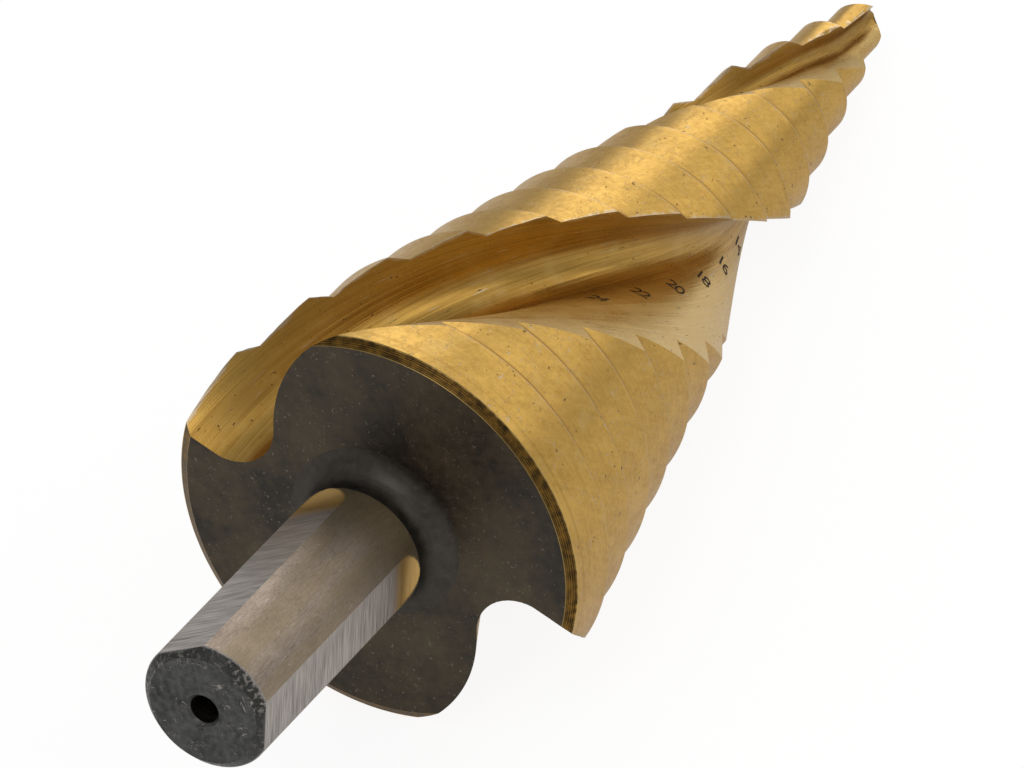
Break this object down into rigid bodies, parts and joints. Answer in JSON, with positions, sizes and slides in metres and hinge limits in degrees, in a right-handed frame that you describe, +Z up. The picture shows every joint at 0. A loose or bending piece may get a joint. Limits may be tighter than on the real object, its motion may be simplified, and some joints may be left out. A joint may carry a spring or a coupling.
{
  "type": "step drill",
  "caption": "Stepped drill bit for sheet metal with spiral flutes, a split conical point and a round shank with flats for a three-jaw chuck.",
  "frame": {"origin": "centre of the tool's overall box at the height of its lowest point, where it rests", "axes": "+X towards the drill point, seen from above; +Z up; the tool lies on its step rims with the point lowest"},
  "size_m": [0.1002, 0.032, 0.0318],
  "materials": {
    "coated_steel": "gold titanium nitride coating, ground, worn brown and grey on the back and the shank"
  },
  "bodies": {
    "root": {"step_drill": "coated_steel"}
  },
  "joints": []
}
